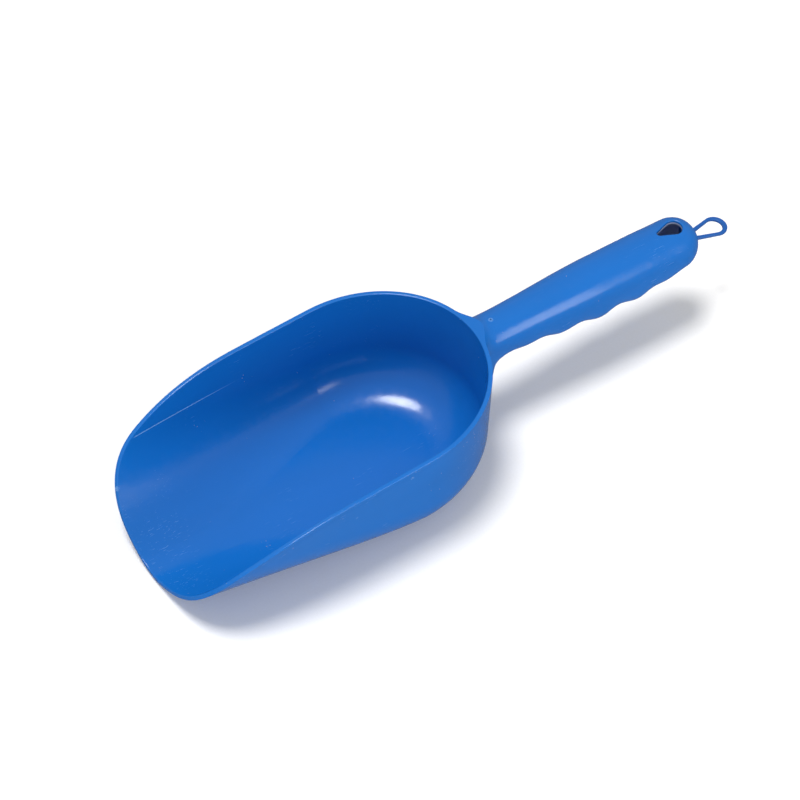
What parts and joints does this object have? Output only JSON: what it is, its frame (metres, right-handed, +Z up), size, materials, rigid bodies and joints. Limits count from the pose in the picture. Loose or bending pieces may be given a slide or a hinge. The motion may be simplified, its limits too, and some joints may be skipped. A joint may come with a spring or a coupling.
{
  "type": "feed scoop",
  "caption": "Moulded plastic scoop for dry feed: an open round-backed trough, a finger-grip tube handle with a teardrop window, and a hanging loop.",
  "frame": {"origin": "under the middle of the overall length and width, on the plane the scoop rests on", "axes": "+Z up, +Y from the pouring lip towards the handle, X across; X = 0 is the plane of symmetry"},
  "size_m": [0.119, 0.3674, 0.0708],
  "materials": {
    "body_blue": "smooth satin-gloss moulded polypropylene",
    "plug_blue": "the same polypropylene as the body",
    "loop_blue": "the same polypropylene as the body"
  },
  "bodies": {
    "root": {"scoop_body": "body_blue", "end_plug": "plug_blue", "hang_loop": "loop_blue"}
  },
  "joints": []
}
